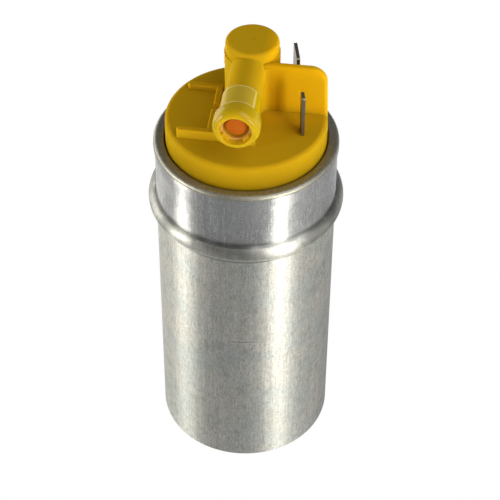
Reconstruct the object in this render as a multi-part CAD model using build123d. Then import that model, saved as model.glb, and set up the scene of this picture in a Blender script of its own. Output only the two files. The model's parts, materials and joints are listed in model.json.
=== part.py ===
from build123d import *
import math
import os

# In-tank electric fuel pump: a crimped aluminium can that holds a side-channel pump at the bottom,
# a brushed motor in the middle and a moulded outlet cap with its hose nozzle and two blades on top.
# Millimetres, +Z up, origin at the middle of the can's base. The nozzle points along -Y.

# Can
can_radius = 21.5
can_height = 91.5
can_wall = 1.2
can_corner = 1.0
bottom_lip = 2.0
bead_drop = 17.6
bead_stand = 1.9
bead_half_height = 2.3
rim_swell = 0.3
rim_swell_length = 4.0

# Outlet cap
cap_set_back = 1.4
cap_rise = 6.2
cap_edge = 1.1
cap_top_thickness = 2.8
cap_side_thickness = 2.7
cap_flange_height = 5.0
lip_gap = 0.3
seal_width = 1.8
seal_lift = 1.5

# Boss and nozzle on the cap
boss_offset = 8.2
boss_shift = 0.3
boss_radius = 6.4
boss_height = 15.7
boss_edge = 1.0
boss_band_radius = 6.5
boss_band_height = 3.1
boss_head_radius = 6.25
boss_head_height = 3.2
boss_passage_radius = 3.4
gate_radius = 0.7
gate_depth = 0.12
nozzle_rise = 10.8
nozzle_reach = 19.0
nozzle_radius = 4.1
nozzle_band_radius = 4.55
nozzle_band_length = 6.8
nozzle_bulb_radius = 5.4
nozzle_bulb_length = 4.6
bulb_land = 1.3
bulb_back_length = 1.2
nozzle_lip = 0.35
nozzle_bore_radius = 2.2
web_half_width = 3.4
web_reach = 11.0
web_rake = 1.6
web_flare = 1.8

# Divider wall and the two low ribs on the cap
wall_front = 2.3
wall_thickness = 2.0
wall_rise = 13.0
wall_corner = 3.9
wall_draft = 0.5
wall_edge = 0.8
rib_thickness = 1.5
rib_end_gap = 4.1
rib_leg = 7.9
rib_edge = 0.35
back_rib_level = 7.35
back_rib_rise = 1.4
back_leg_end = 1.3
front_rib_level = 10.25
front_rib_rise = 2.5
front_leg_end = 1.7

# Check valve inside the nozzle
valve_seat_depth = 16.6
valve_chamber_radius = 3.0
valve_guide_radius = 3.3
valve_guide_depth = 9.6
valve_guide_length = 2.0
guide_rim = 0.5
guide_hub_radius = 1.5
guide_spoke_width = 0.9
guide_button_radius = 2.6
guide_button_depth = 1.8
guide_button_length = 2.6
guide_button_dome = 0.6
poppet_radius = 2.75
poppet_thickness = 1.2
poppet_nose = 1.3
poppet_stem_radius = 0.8
poppet_stem_set_back = 0.4
check_wire = 0.45
check_turns = 4.5
mouth_radius = 3.75
washer_depth = 2.0
washer_thickness = 0.5
washer_hole_radius = 2.95
stake_count = 4
stake_span = 30.0
stake_length = 0.7
stake_reach = 0.6

# Terminals and chokes
front_blade_width = 2.8
back_blade_width = 6.3
blade_thickness = 0.8
blade_rise = 10.85
blade_tip = 0.3
blade_turn = 13.0
front_blade_angle = -17.87
back_blade_angle = 48.74
front_blade_inset = 4.82
back_blade_inset = 3.39
front_shank_width = 1.8
back_shank_width = 3.0
foot_thickness = 0.8
foot_width = 4.4
choke_core_radius = 1.5
choke_core_length = 10.5
choke_wire = 1.1
choke_turns = 8
choke_ridge = 0.3
front_choke_angle = -34.8
back_choke_angle = 76.8
front_choke_inset = 4.03
back_choke_inset = 4.43

# Brush gear
holder_height = 19.5
holder_wall = 1.85
holder_plate_lift = 3.4
holder_plate_thickness = 2.0
brush_depth = 4.3
brush_width = 6.0
brush_length = 9.0
guide_wall = 1.2
guide_roof = 1.5
guide_headroom = 5.6
brush_spring_radius = 1.5
brush_spring_wire = 0.5
brush_spring_turns = 4.5
lead_radius = 0.4
lead_hole_radius = 0.7
lead_headroom = 3.2
lead_bend = 0.45
window_span = 30.0
window_inner_radius = 12.2
window_gap = 1.8
window_angles = (160, 200, 270)

# Motor
flux_ring_wall = 1.65
magnet_thickness = 4.0
magnet_span = 124.0
magnet_end_gap = 6.0
clip_thickness = 0.5
clip_bow = 2.2
air_gap = 0.5
core_end_gap = 9.0
slot_count = 8
slot_span = 27.0
slot_root_radius = 6.4
slot_shoe = 1.6
slot_mouth = 1.8
winding_overhang = 4.5
winding_set_back = 1.0
winding_inner_radius = 5.2
winding_edge = 1.4
slot_liner = 0.15
shaft_radius = 2.0
shaft_flat = 0.4
commutator_radius = 9.8
commutator_height = 5.6
segment_thickness = 2.0
segment_inner_radius = 4.3
segment_slot = 0.6
tang_reach = 1.0
tang_width = 1.6
tang_height = 1.5
hub_collar_radius = 3.9
bush_radius = 3.4
upper_bush_length = 6.0
lower_bush_length = 7.0
shaft_end_room = 2.6

# Pump
cover_height = 7.8
cover_recess = 3.2
cover_rim = 0.5
port_gap = 0.4
port_radius = 4.4
port_wall = 1.5
port_set_back = 0.5
casing_height = 9.0
impeller_set_back = 5.75
impeller_thickness = 3.8
vane_count = 31
vane_rim = 0.8
vane_length = 2.1
vane_slot_share = 0.723
balance_hole_radius = 1.2
balance_hole_inset = 4.2
balance_hole_count = 5
channel_half_width = 1.25
channel_span = 300.0
inlet_turn = 90.0
outlet_port_span = 26.0
casing_boss_radius = 5.4
casing_boss_height = 2.6
button_radius = 2.5
button_thickness = 1.8
relief_inset = 3.35
relief_bore_radius = 1.2
relief_ball_radius = 1.1
relief_seat_height = 1.2
relief_seat_hole = 0.7
relief_wire = 0.35
relief_turns = 6
relief_vent_radius = 0.7
relief_floor = 1.2

# Clearances
seat_gap = 0.05
running_gap = 0.03
face_gap = 0.05
impeller_gap = 0.15
brush_play = 0.1
valve_play = 0.1

# Radii, from the can inwards
inner_radius = can_radius - can_wall
stack_radius = inner_radius - seat_gap
bottom_lip_radius = inner_radius - bottom_lip
cap_radius = inner_radius - cap_set_back
cap_cavity_radius = cap_radius - cap_side_thickness
holder_inner_radius = stack_radius - holder_wall
magnet_radius = stack_radius - flux_ring_wall
core_radius = magnet_radius - magnet_thickness - air_gap
brush_offset = (segment_inner_radius + commutator_radius) / 2
impeller_radius = stack_radius - impeller_set_back
vane_root_radius = impeller_radius - vane_rim - vane_length
channel_radius = vane_root_radius + vane_length / 2
vane_slot_width = vane_slot_share * 2 * math.pi * vane_root_radius / vane_count
balance_hole_circle = vane_root_radius - balance_hole_inset
port_offset = bottom_lip_radius - cover_rim - port_gap - port_wall - port_radius
relief_offset = stack_radius - relief_inset

# Levels, from the base up
bead_level = can_height - bead_drop
cover_top = can_wall + cover_height
casing_top = cover_top + casing_height
flange_top = can_height - can_wall
flange_bottom = flange_top - cap_flange_height
holder_bottom = flange_bottom - holder_height
face_level = can_height + cap_rise
cap_ceiling = face_level - cap_top_thickness
nozzle_axis = face_level + nozzle_rise
plate_bottom = holder_bottom + holder_plate_lift
plate_top = plate_bottom + holder_plate_thickness
core_bottom = casing_top + core_end_gap
core_top = holder_bottom - core_end_gap
commutator_bottom = core_top + winding_overhang + 0.5
commutator_face = commutator_bottom + commutator_height
brush_bottom = commutator_face + face_gap
brush_top = brush_bottom + brush_length
guide_ceiling = brush_top + guide_headroom
impeller_bottom = cover_top + impeller_gap
impeller_top = impeller_bottom + impeller_thickness
pocket_top = impeller_top + impeller_gap
foot_top = plate_top + foot_thickness
washer_back = nozzle_reach - washer_depth
valve_seat_reach = nozzle_reach - valve_seat_depth
valve_guide_reach = nozzle_reach - valve_guide_depth
guide_button_end = nozzle_reach - guide_button_depth
guide_button_start = guide_button_end - guide_button_length


def around(radius, angle):
    """Place at a distance from the can's axis, in a direction given in degrees."""
    return (radius * math.cos(math.radians(angle)), radius * math.sin(math.radians(angle)))


front_blade_place = around(cap_radius - front_blade_inset, front_blade_angle)
back_blade_place = around(cap_radius - back_blade_inset, back_blade_angle)
front_choke_place = around(holder_inner_radius - front_choke_inset, front_choke_angle)
back_choke_place = around(holder_inner_radius - back_choke_inset, back_choke_angle)


def turned(points):
    """Full turn about Z of a closed outline given as (radius, height) points."""
    outline = Polyline([(radius, 0, height) for radius, height in points], close=True)
    return revolve(make_face(outline), Axis.Z, 360)


def tube(outer, inner, bottom, top):
    """Plain upright tube between two heights."""
    return turned([(inner, bottom), (outer, bottom), (outer, top), (inner, top)])


def rod(radius, bottom, top):
    """Plain upright rod between two heights."""
    return Pos(0, 0, bottom) * extrude(Circle(radius), top - bottom)


def sector(inner, outer, middle, span):
    """Flat piece of a ring, span degrees wide, centred on the angle middle."""
    half = math.radians(span / 2)
    mid = math.radians(middle)

    def at(radius, angle):
        return (radius * math.cos(angle), radius * math.sin(angle))

    start, end = mid - half, mid + half
    edge = Line(at(inner, start), at(outer, start))
    edge += ThreePointArc(at(outer, start), at(outer, mid), at(outer, end))
    edge += Line(at(outer, end), at(inner, end))
    edge += ThreePointArc(at(inner, end), at(inner, mid), at(inner, start))
    return make_face(edge)


def block(flat, bottom, top):
    """Flat shape raised between two heights."""
    return Pos(0, 0, bottom) * extrude(flat, top - bottom)


def coil(mean_radius, wire, bottom, top, turns):
    """Square-wire coil spring that stands between two heights."""
    travel = top - bottom - wire
    path = Helix(travel / turns, travel, mean_radius)
    end = Plane((mean_radius, 0, 0), x_dir=(1, 0, 0), z_dir=(0, 1, 0))
    wound = sweep(end * Rectangle(wire, wire), path, is_frenet=True)
    return Pos(0, 0, bottom + wire / 2) * wound


def housing_can():
    """One drawn tube with a rolled bead and both ends crimped inwards."""
    inner = inner_radius
    rim = can_radius + rim_swell
    with BuildSketch(Plane.XZ) as half:
        with BuildLine():
            Line((bottom_lip_radius, 0), (can_radius - can_corner, 0))
            CenterArc((can_radius - can_corner, can_corner), can_corner, -90, 90)
            Line((can_radius, can_corner), (can_radius, bead_level - bead_half_height))
            ThreePointArc(
                (can_radius, bead_level - bead_half_height),
                (can_radius + bead_stand, bead_level),
                (can_radius, bead_level + bead_half_height),
            )
            Polyline(
                (can_radius, bead_level + bead_half_height),
                (can_radius, can_height - rim_swell_length),
                (rim, can_height - can_corner * 2),
                (rim, can_height - can_corner),
            )
            CenterArc((rim - can_corner, can_height - can_corner), can_corner, 0, 90)
            Polyline(
                (rim - can_corner, can_height),
                (cap_radius + lip_gap, can_height),
                (cap_radius + lip_gap, flange_top),
                (inner, flange_top),
                (inner, bead_level + bead_stand),
            )
            ThreePointArc(
                (inner, bead_level + bead_stand),
                (inner + bead_stand, bead_level),
                (inner, bead_level - bead_stand),
            )
            Polyline(
                (inner, bead_level - bead_stand),
                (inner, can_wall),
                (bottom_lip_radius, can_wall),
                (bottom_lip_radius, 0),
            )
        make_face()
    return revolve(half.sketch, Axis.Z, 360)


def cap_shell():
    """Disc, side wall and clamped flange of the cap, with the groove for its seal."""
    groove_bottom = flange_bottom + seal_lift
    floor = inner_radius - seal_width
    shell = turned([
        (0, face_level),
        (cap_radius, face_level),
        (cap_radius, flange_top),
        (stack_radius, flange_top),
        (stack_radius, groove_bottom + seal_width),
        (floor, groove_bottom + seal_width),
        (floor, groove_bottom),
        (stack_radius, groove_bottom),
        (stack_radius, flange_bottom),
        (cap_cavity_radius, flange_bottom),
        (cap_cavity_radius, cap_ceiling),
        (0, cap_ceiling),
    ])
    top_edge = shell.edges().filter_by(GeomType.CIRCLE).group_by(Axis.Z)[-1]
    return fillet(top_edge, cap_edge)


def boss():
    """Upright column of the cap with its slightly proud band and rounded head."""
    top = face_level + boss_height
    band_top = top - boss_head_height
    band_bottom = band_top - boss_band_height
    column = turned([
        (0, cap_ceiling),
        (boss_radius, cap_ceiling),
        (boss_radius, band_bottom),
        (boss_band_radius, band_bottom),
        (boss_band_radius, band_top),
        (boss_head_radius, band_top),
        (boss_head_radius, top),
        (0, top),
    ])
    rim = column.edges().filter_by(GeomType.CIRCLE).group_by(Axis.Z)[-1]
    column = fillet(rim, boss_edge)
    column -= rod(gate_radius, top - gate_depth, top)
    return Pos(boss_shift, boss_offset, 0) * column


def nozzle_outside():
    """Outside of the nozzle: tube, thicker band and rounded hose bulb, turned about its own axis."""
    bulb_start = nozzle_reach - nozzle_bulb_length
    band_start = bulb_start - nozzle_band_length
    step = nozzle_band_radius - nozzle_radius
    land_start = bulb_start + bulb_back_length
    land_end = land_start + bulb_land
    nose = nozzle_reach - land_end
    rim = mouth_radius + nozzle_lip
    rise = nozzle_bulb_radius - nozzle_band_radius
    with BuildSketch(Plane.XZ) as half:
        with BuildLine():
            Polyline((0, -boss_offset), (nozzle_radius, -boss_offset), (nozzle_radius, band_start))
            CenterArc((nozzle_radius, band_start + step), step, -90, 90)
            Line((nozzle_band_radius, band_start + step), (nozzle_band_radius, bulb_start))
            ThreePointArc(
                (nozzle_band_radius, bulb_start),
                (nozzle_band_radius + rise * 0.75, bulb_start + bulb_back_length * 0.4),
                (nozzle_bulb_radius, land_start),
            )
            Line((nozzle_bulb_radius, land_start), (nozzle_bulb_radius, land_end))
            EllipticalCenterArc((rim, land_end), nozzle_bulb_radius - rim, nose, 0, arc_size=90)
            Polyline((rim, nozzle_reach), (0, nozzle_reach), (0, -boss_offset))
        make_face()
    return along_nozzle(revolve(half.sketch, Axis.Z, 360))


def along_nozzle(piece):
    """Turns a piece built up +Z so that it lies on the nozzle's axis, its +Z towards the mouth."""
    return Pos(0, 0, nozzle_axis) * Rot(90, 0, 0) * piece


def nozzle_ways():
    """Fuel way: up the boss, along the nozzle, then the steps of the valve chamber and the mouth."""
    upright = Pos(boss_shift, boss_offset, 0) * rod(boss_passage_radius, cap_ceiling - 1, nozzle_axis)
    dome = Pos(0, boss_offset, nozzle_axis) * rod(nozzle_bore_radius, 0, nozzle_bore_radius)
    level = rod(nozzle_bore_radius, -boss_offset, valve_seat_reach)
    chamber = rod(valve_chamber_radius, valve_seat_reach, valve_guide_reach)
    guide_seat = rod(valve_guide_radius, valve_guide_reach, washer_back)
    mouth = rod(mouth_radius, washer_back, nozzle_reach + 1)
    return upright + dome + along_nozzle(level + chamber + guide_seat + mouth)


def stakes():
    """Small lugs inside the mouth, peened over the washer."""
    flat = Sketch()
    for index in range(stake_count):
        turn = 45 + index * 360 / stake_count
        flat += sector(mouth_radius - stake_reach, mouth_radius + nozzle_lip, turn, stake_span)
    front = washer_back + washer_thickness
    return along_nozzle(block(flat, front, front + stake_length))


def divider_wall():
    """Upright wall from the boss to the cap's edge, between the two blades, its outer corner rounded."""
    low = face_level - 1
    high = face_level + wall_rise
    end = math.sqrt(cap_radius**2 - (wall_front + wall_thickness / 2) ** 2)
    side = make_face(Polyline((0, low), (end, low), (end - wall_draft, high), (0, high), close=True))
    corner = side.vertices().group_by(Axis.Y)[-1].sort_by(Axis.X)[-1]
    side = fillet(corner, wall_corner)
    plate = Pos(0, wall_front + wall_thickness, 0) * Rot(90, 0, 0) * extrude(side, wall_thickness)
    crest = plate.edges().filter_by(lambda edge: edge.center().Z > low and edge.center().X > 0)
    crest = crest.filter_by(Axis.Y, reverse=True)
    return fillet(crest, wall_edge) & rod(cap_radius, low, high)


def web():
    """Block that carries the nozzle on the cap, with the flare where it meets the wall."""
    side = make_face(Polyline(
        [
            (0, boss_offset, face_level - 1),
            (0, -web_reach, face_level - 1),
            (0, web_rake - web_reach, nozzle_axis),
            (0, boss_offset, nozzle_axis),
        ],
        close=True,
    ))
    rib = extrude(side, web_half_width, dir=(1, 0, 0), both=True)
    x, y = web_half_width, wall_front
    flare = Pos(x + web_flare / 2, y - web_flare / 2) * Rectangle(web_flare, web_flare)
    flare -= Pos(x + web_flare, y - web_flare) * Circle(web_flare)
    return rib + block(flare, face_level - 1, face_level + wall_rise - wall_edge)


def low_rib(level, leg_end, rise):
    """One L-shaped rib: a bar along X at the given level and a leg that turns towards the other rib."""
    towards = 1 if leg_end > level else -1
    low, high = face_level - 1, face_level + rise
    inner = -web_half_width if towards > 0 else -rib_leg + rib_thickness
    start = rib_end_gap + rib_thickness / 2 - cap_radius
    bar = Pos((start + inner) / 2, level + towards * rib_thickness / 2)
    flat = bar * Rectangle(inner - start, rib_thickness)
    flat += Pos(start, level + towards * rib_thickness / 2) * Circle(rib_thickness / 2)
    flat += Pos(-rib_leg + rib_thickness / 2, (level + leg_end) / 2) * Rectangle(
        rib_thickness, abs(leg_end - level)
    )
    rib = block(flat, low, high)
    return fillet(rib.faces().sort_by(Axis.Z)[-1].edges(), rib_edge)


def outlet_cap():
    """The whole cap, moulded in one piece."""
    cap = cap_shell() + boss() + nozzle_outside() + web() + divider_wall()
    cap += low_rib(back_rib_level + rib_thickness, back_leg_end, back_rib_rise)
    cap += low_rib(-front_rib_level, -front_leg_end, front_rib_rise)
    cap -= nozzle_ways()
    cap += stakes()
    front_slot = block(Rectangle(blade_thickness, front_shank_width), plate_top, face_level)
    back_slot = block(Rectangle(blade_thickness, back_shank_width), plate_top, face_level)
    cap -= Pos(*front_blade_place, 0) * Rot(0, 0, blade_turn) * front_slot
    cap -= Pos(*back_blade_place, 0) * Rot(0, 0, blade_turn) * back_slot
    return cap


def cap_seal():
    """Square-cut rubber ring in the groove of the cap's flange."""
    bottom = flange_bottom + seal_lift
    return tube(inner_radius, inner_radius - seal_width, bottom, bottom + seal_width)


def terminal(width, shank_width, place, choke_place):
    """Blade above the cap, shank through it, and a flat foot under the choke."""
    tip = face_level + blade_rise
    half = width / 2
    neck = shank_width / 2
    outline = [
        (0, -neck, plate_top),
        (0, -neck, face_level),
        (0, -half, face_level),
        (0, -half, tip - blade_tip),
        (0, -half + blade_tip, tip),
        (0, half - blade_tip, tip),
        (0, half, tip - blade_tip),
        (0, half, face_level),
        (0, neck, face_level),
        (0, neck, plate_top),
    ]
    face = make_face(Polyline(outline, close=True))
    blade = extrude(face, blade_thickness / 2, dir=(1, 0, 0), both=True)
    blade = Pos(*place, 0) * Rot(0, 0, blade_turn) * blade
    across = (choke_place[0] - place[0], choke_place[1] - place[1])
    reach = math.hypot(*across)
    middle = ((choke_place[0] + place[0]) / 2, (choke_place[1] + place[1]) / 2)
    foot_turn = math.degrees(math.atan2(across[1], across[0]))
    foot = Pos(*middle) * Rot(0, 0, foot_turn) * SlotCenterToCenter(reach, foot_width)
    return blade + block(foot, plate_top, foot_top)


def choke_core(place):
    """Ferrite rod of the choke, standing on the terminal's foot."""
    return Pos(*place, 0) * rod(choke_core_radius, foot_top, foot_top + choke_core_length)


def choke_coil(place):
    """Wire wound tight round the choke's core, seen as its ridges."""
    reach = choke_core_radius + choke_wire
    slope = choke_wire * choke_ridge
    points = [(choke_core_radius, foot_top)]
    for turn in range(choke_turns):
        bottom = foot_top + turn * choke_wire
        points += [
            (reach - slope, bottom),
            (reach, bottom + slope),
            (reach, bottom + choke_wire - slope),
        ]
    top = foot_top + choke_turns * choke_wire
    points += [(reach - slope, top), (choke_core_radius, top)]
    return Pos(*place, 0) * turned(points)


def brush_box():
    """Section of the space that a brush slides in."""
    return Rectangle(brush_depth + 2 * brush_play, brush_width + 2 * brush_play)


def brush_holder():
    """Moulded carrier: ring, plate, two closed brush guides and the upper bearing seat."""
    ring = tube(stack_radius, holder_inner_radius, holder_bottom, flange_bottom)
    plate = rod(stack_radius - holder_wall / 2, plate_bottom, plate_top)
    roof = guide_ceiling + guide_roof
    seat_top = plate_bottom + upper_bush_length + shaft_end_room
    holder = ring + plate + rod(bush_radius + guide_wall, plate_bottom, seat_top + guide_wall)
    guide = Rectangle(
        brush_depth + 2 * (brush_play + guide_wall), brush_width + 2 * (brush_play + guide_wall)
    )
    for side in (1, -1):
        holder += Pos(side * brush_offset, 0, 0) * block(guide, plate_bottom, roof)
    for side in (1, -1):
        hole = block(brush_box(), plate_bottom, guide_ceiling)
        hole += rod(lead_hole_radius, guide_ceiling, roof)
        holder -= Pos(side * brush_offset, 0, 0) * hole
    holder -= rod(bush_radius, plate_bottom, plate_bottom + upper_bush_length)
    holder -= rod(shaft_radius + valve_play, plate_bottom, seat_top)
    for middle in window_angles:
        window = sector(window_inner_radius, holder_inner_radius - window_gap, middle, window_span)
        holder -= block(window, plate_bottom, plate_top)
    return holder


def brush(side):
    """Carbon brush that rides on the commutator's face."""
    return Pos(side * brush_offset, 0, 0) * block(
        Rectangle(brush_depth, brush_width), brush_bottom, brush_top
    )


def brush_spring(side):
    """Coil spring between the brush and the roof of its guide."""
    spring = coil(brush_spring_radius, brush_spring_wire, brush_top, guide_ceiling, brush_spring_turns)
    return Pos(side * brush_offset, 0, 0) * spring


def brush_lead(side, choke_place):
    """Soft copper lead: up through the spring and the roof, across, and down onto the choke."""
    start = (side * brush_offset, 0)
    crown = guide_ceiling + guide_roof + lead_headroom
    choke_top = foot_top + choke_core_length
    points = [
        (*start, brush_top),
        (*start, crown),
        (*choke_place, crown),
        (*choke_place, choke_top),
    ]
    bend = lead_bend * (crown - choke_top)
    path = FilletPolyline(*points, radius=bend)
    section = Plane((*start, brush_top), z_dir=(0, 0, 1)) * Circle(lead_radius)
    return sweep(section, path)


def shaft():
    """Steel shaft from the thrust button to the upper bush, with a flat that drives the impeller."""
    bottom = can_wall + cover_height - face_gap
    top = plate_bottom + upper_bush_length + shaft_end_room - face_gap
    bar = rod(shaft_radius, bottom, top)
    flat = Pos(2 * shaft_radius - shaft_flat, 0, (bottom + pocket_top) / 2) * Box(
        2 * shaft_radius, 4 * shaft_radius, pocket_top - bottom
    )
    return bar - flat


def upper_bearing():
    """Sintered bush pressed into the brush holder."""
    hole = shaft_radius + running_gap
    return tube(bush_radius, hole, plate_bottom, plate_bottom + upper_bush_length)


def lower_bearing():
    """Carbon bush pressed into the pump casing."""
    top = casing_top + casing_boss_height
    return tube(bush_radius, shaft_radius + running_gap, top - lower_bush_length, top)


def thrust_washer():
    """Washer on the shaft between the commutator hub and the upper bush."""
    return tube(hub_collar_radius, shaft_radius, commutator_face, plate_bottom - face_gap)


def commutator_hub():
    """Moulded hub that carries the copper segments."""
    seat = commutator_face - segment_thickness
    return turned([
        (shaft_radius, commutator_bottom),
        (commutator_radius, commutator_bottom),
        (commutator_radius, seat),
        (segment_inner_radius, seat),
        (segment_inner_radius, commutator_face),
        (shaft_radius, commutator_face),
    ])


def commutator_segments():
    """Flat copper segments, each with the tang that holds its wire."""
    seat = commutator_face - segment_thickness
    pitch = 360 / slot_count
    gap = math.degrees(segment_slot / commutator_radius)
    segments = []
    for index in range(slot_count):
        turn = (index + 0.5) * pitch
        flat = sector(segment_inner_radius, commutator_radius, 0, pitch - gap)
        tang = Pos(commutator_radius, 0) * Rectangle(2 * tang_reach, tang_width)
        hook = block(tang, seat - tang_height, commutator_face)
        hook -= rod(commutator_radius, seat - tang_height, seat)
        segments.append(Rot(0, 0, turn) * (block(flat, seat, commutator_face) + hook))
    return Compound(children=segments)


def armature_core():
    """Lamination stack with semi-closed slots."""
    flat = Circle(core_radius)
    shoe_radius = core_radius - slot_shoe
    for index in range(slot_count):
        turn = index * 360 / slot_count
        flat -= sector(slot_root_radius, shoe_radius, turn, slot_span)
        mouth = Pos(core_radius, 0) * Rectangle(4 * slot_shoe, slot_mouth)
        flat -= Rot(0, 0, turn) * mouth
    flat -= Circle(shaft_radius)
    return block(flat, core_bottom, core_top)


def armature_winding():
    """Copper that fills the slots and stands out of the stack at both ends."""
    flat = Sketch()
    fill = math.degrees(2 * slot_liner / slot_root_radius)
    shoe_radius = core_radius - slot_shoe
    for index in range(slot_count):
        turn = index * 360 / slot_count
        flat += sector(slot_root_radius + slot_liner, shoe_radius - slot_liner, turn, slot_span - fill)
    winding = block(flat, core_bottom - 1, core_top + 1)
    low, high = core_bottom - winding_overhang, core_top + winding_overhang
    outer = core_radius - winding_set_back
    for near, far in ((core_bottom, low), (core_top, high)):
        edge = winding_edge if far > near else -winding_edge
        winding += turned([
            (winding_inner_radius, near),
            (outer, near),
            (outer, far - edge),
            (outer - winding_edge, far),
            (winding_inner_radius + winding_edge, far),
            (winding_inner_radius, far - edge),
        ])
    return winding


def magnet(middle):
    """One curved ferrite magnet, bonded to the flux ring."""
    flat = sector(magnet_radius - magnet_thickness, magnet_radius, middle, magnet_span)
    return block(flat, casing_top + magnet_end_gap, holder_bottom - magnet_end_gap)


def magnet_clip(middle):
    """Bowed spring clip that pushes the two magnets apart."""
    outer = magnet_radius
    span = 180 - magnet_span
    legs_apart = span - math.degrees(2 * clip_thickness / outer)
    bend = sector(outer - clip_thickness, outer, middle, span)
    leg = sector(outer - clip_bow, outer, middle, span)
    leg -= sector(outer - clip_bow - 1, outer + 1, middle, legs_apart)
    return block(bend + leg, casing_top + magnet_end_gap, holder_bottom - magnet_end_gap)


def flux_ring():
    """Steel tube that carries the magnets and closes their field."""
    return tube(stack_radius, magnet_radius, casing_top, holder_bottom)


def channel(level):
    """Round-bottomed side channel that ends at the inlet port."""
    profile = Pos(channel_radius, 0, level) * Rot(90, 0, 0) * Circle(channel_half_width)
    return Rot(0, 0, inlet_turn - channel_span) * revolve(profile, Axis.Z, channel_span)


def impeller():
    """Closed side-channel impeller with its vane pockets, D-shaped hub and balance holes."""
    flat = Circle(impeller_radius)
    slot = Rectangle(vane_length, vane_slot_width)
    flat -= PolarLocations(vane_root_radius + vane_length / 2, vane_count) * slot
    flat -= PolarLocations(balance_hole_circle, balance_hole_count) * Circle(balance_hole_radius)
    bore = shaft_radius + seat_gap
    hub = Circle(bore) - Pos(2 * bore - shaft_flat, 0) * Rectangle(2 * bore, 4 * bore)
    return block(flat - hub, impeller_bottom, impeller_top)


def relief_place(piece):
    """Puts a piece on the axis of the relief valve, across from the inlet port."""
    return Pos(0, -relief_offset, 0) * piece


def pump_casing():
    """Outlet side of the pump: impeller pocket, channel, outlet port and lower bearing seat."""
    casing = rod(stack_radius, cover_top, casing_top)
    casing += rod(casing_boss_radius, casing_top, casing_top + casing_boss_height)
    casing -= rod(impeller_radius + impeller_gap, cover_top, pocket_top)
    casing -= channel(pocket_top)
    casing -= rod(bush_radius, casing_top + casing_boss_height - lower_bush_length, can_height / 2)
    casing -= rod(shaft_radius + valve_play, cover_top, casing_top)
    reach = channel_half_width
    outlet_turn = inlet_turn - channel_span + outlet_port_span / 2
    port = sector(channel_radius - reach, channel_radius + reach, outlet_turn, outlet_port_span)
    casing -= block(port, pocket_top, casing_top)
    casing -= relief_place(rod(relief_bore_radius, cover_top, casing_top))
    return casing


def inlet_cover():
    """Cast cover that closes the can: recessed underside, inlet port and thrust button seat."""
    cover = rod(stack_radius, can_wall, cover_top)
    cover -= rod(bottom_lip_radius - cover_rim, can_wall, can_wall + cover_recess)
    cover += Pos(0, port_offset, 0) * rod(port_radius + port_wall, port_set_back, can_wall + cover_recess)
    cover -= channel(cover_top)
    cover -= Pos(0, port_offset, 0) * rod(port_radius, port_set_back, cover_top)
    cover -= rod(button_radius, cover_top - 2 * face_gap - button_thickness, cover_top)
    floor = can_wall + cover_recess + relief_floor
    relief = rod(relief_bore_radius, floor, cover_top) + rod(relief_vent_radius, can_wall, floor)
    return cover - relief_place(relief)


def thrust_button():
    """Hard button under the shaft's end."""
    top = cover_top - 2 * face_gap
    return rod(button_radius, top - button_thickness, top)


def relief_seat():
    """Brass ring at the top of the relief bore."""
    return relief_place(
        tube(relief_bore_radius, relief_seat_hole, casing_top - relief_seat_height, casing_top)
    )


def relief_ball_level():
    """Height of the ball's middle when it closes the seat's hole."""
    drop = math.sqrt(relief_ball_radius**2 - relief_seat_hole**2)
    return casing_top - relief_seat_height - drop - face_gap


def relief_ball():
    """Steel ball of the relief valve."""
    return relief_place(Pos(0, 0, relief_ball_level()) * Sphere(relief_ball_radius))


def relief_spring():
    """Spring under the relief ball, standing on the floor of its bore."""
    mean = relief_bore_radius - valve_play - relief_wire / 2
    floor = can_wall + cover_recess + relief_floor
    drop = math.sqrt(relief_ball_radius**2 - (mean - relief_wire / 2) ** 2)
    return relief_place(coil(mean, relief_wire, floor, relief_ball_level() - drop, relief_turns))


def check_poppet():
    """Poppet of the check valve: nose in the seat, head against it, stem in the guide."""
    back = valve_seat_reach + face_gap
    head = back + poppet_thickness
    nose = nozzle_bore_radius - valve_play
    stem_end = valve_guide_reach + valve_guide_length - poppet_stem_set_back
    return along_nozzle(turned([
        (0, back - poppet_nose),
        (nose / 2, back - poppet_nose),
        (nose, back),
        (poppet_radius, back),
        (poppet_radius, head),
        (poppet_stem_radius, head),
        (poppet_stem_radius, stem_end),
        (0, stem_end),
    ]))


def check_spring():
    """Spring between the poppet's head and the valve guide."""
    head = valve_seat_reach + face_gap + poppet_thickness
    mean = (poppet_radius + poppet_stem_radius) / 2
    return along_nozzle(coil(mean, check_wire, head, valve_guide_reach, check_turns))


def valve_guide():
    """Spoked guide for the poppet's stem, with the round button that faces the mouth."""
    spoke_length = valve_guide_radius - guide_rim / 2
    flat = Circle(valve_guide_radius) - Circle(valve_guide_radius - guide_rim)
    for index in range(3):
        spoke = Pos(valve_guide_radius / 2, 0) * Rectangle(spoke_length, guide_spoke_width)
        flat += Rot(0, 0, 30 + index * 120) * spoke
    flat += Circle(guide_hub_radius)
    flat = flat & Circle(valve_guide_radius)
    guide = block(flat, valve_guide_reach, valve_guide_reach + valve_guide_length)
    guide += rod(guide_hub_radius, valve_guide_reach, guide_button_start)
    button = rod(guide_button_radius, guide_button_start, guide_button_end)
    guide += fillet(button.edges().group_by(Axis.Z)[-1], guide_button_dome)
    guide -= rod(poppet_stem_radius + valve_play, valve_guide_reach, guide_button_start)
    return along_nozzle(guide)


def retaining_washer():
    """Steel washer that the mouth's lugs hold."""
    front = washer_back + washer_thickness
    return along_nozzle(tube(mouth_radius - seat_gap, washer_hole_radius, washer_back, front))


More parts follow.
